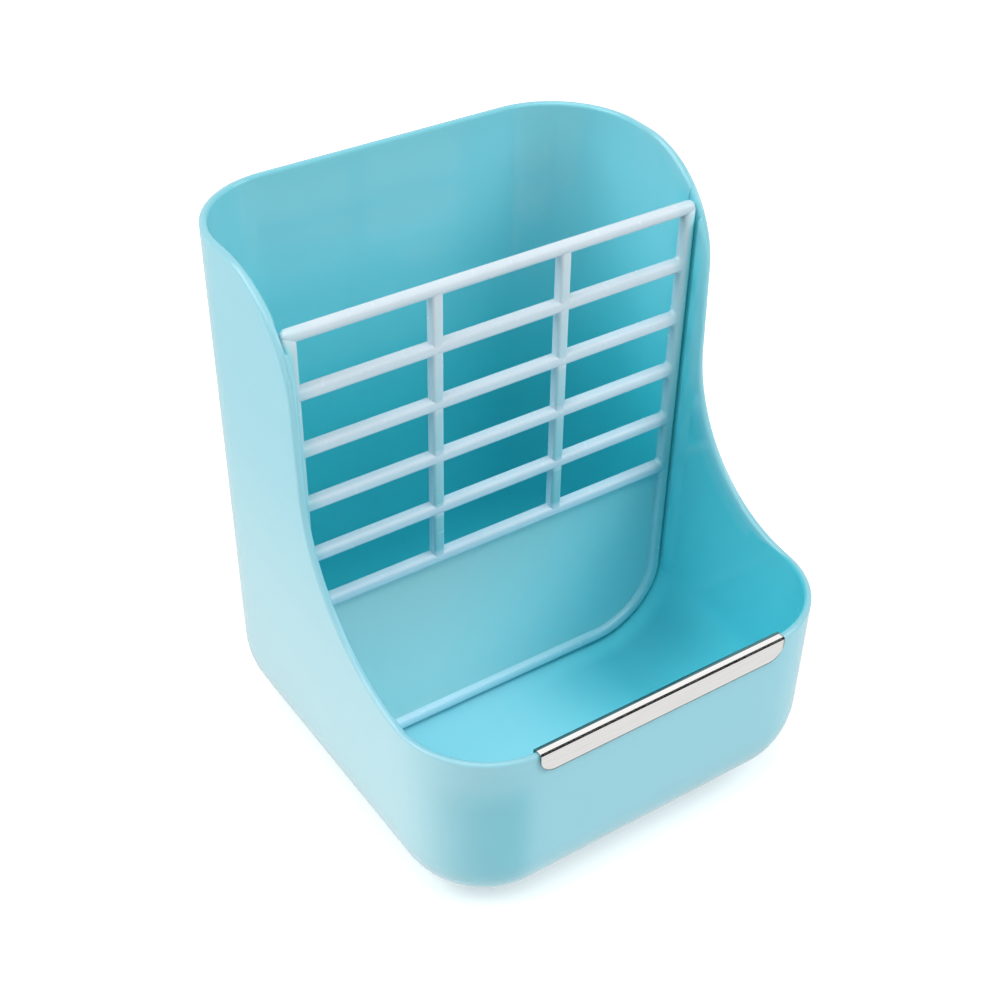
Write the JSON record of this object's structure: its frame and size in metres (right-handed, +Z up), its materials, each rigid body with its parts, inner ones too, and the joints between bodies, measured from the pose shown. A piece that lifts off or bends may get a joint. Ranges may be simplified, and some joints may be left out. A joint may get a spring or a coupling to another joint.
{
  "type": "hay feeder box",
  "caption": "Plastic hay feeder with a tall rear hopper, a lift-out grille, an open front bowl, a metal rim guard and sprung cage hooks.",
  "frame": {"origin": "middle of the base, on the surface that the box stands on", "axes": "+X to the right seen from the front, +Y to the back, +Z up"},
  "size_m": [0.136, 0.1561, 0.167],
  "materials": {
    "body_plastic": "glossy light blue",
    "grille_plastic": "glossy white, slightly milky",
    "guard_metal": "bright folded sheet",
    "hook_steel": "plated wire"
  },
  "bodies": {
    "feeder": {"feeder_body": "body_plastic", "chew_guard": "guard_metal", "spring_left": "hook_steel", "spring_right": "hook_steel"},
    "grille": {"grille": "grille_plastic"},
    "pull_left": {"washer_left": "hook_steel"},
    "pull_right": {"washer_right": "hook_steel"},
    "hook_left": {"hook_left": "hook_steel", "collar_left": "hook_steel"},
    "hook_right": {"hook_right": "hook_steel", "collar_right": "hook_steel"}
  },
  "joints": [
    {"name": "grille_lift", "type": "slide", "parent": "feeder", "child": "grille", "axis": [0, 0, 1], "range_m": [0, 0.14]},
    {"name": "hook_left_pull", "type": "slide", "parent": "feeder", "child": "pull_left", "axis": [0, 0, 1], "range_m": [0, 0.01], "stiffness_N_per_m": 300, "springref_m": -0.005, "deforming": ["spring_left"]},
    {"name": "hook_left_swivel", "type": "hinge", "parent": "pull_left", "child": "hook_left", "pos_m": [-0.03803, 0.07814, 0.12], "axis": [0, 0, 1], "range_deg": [-90, 90]},
    {"name": "hook_right_pull", "type": "slide", "parent": "feeder", "child": "pull_right", "axis": [0, 0, 1], "range_m": [0, 0.01], "stiffness_N_per_m": 300, "springref_m": -0.005, "deforming": ["spring_right"]},
    {"name": "hook_right_swivel", "type": "hinge", "parent": "pull_right", "child": "hook_right", "pos_m": [0.03803, 0.07814, 0.12], "axis": [0, 0, 1], "range_deg": [-90, 90]}
  ]
}
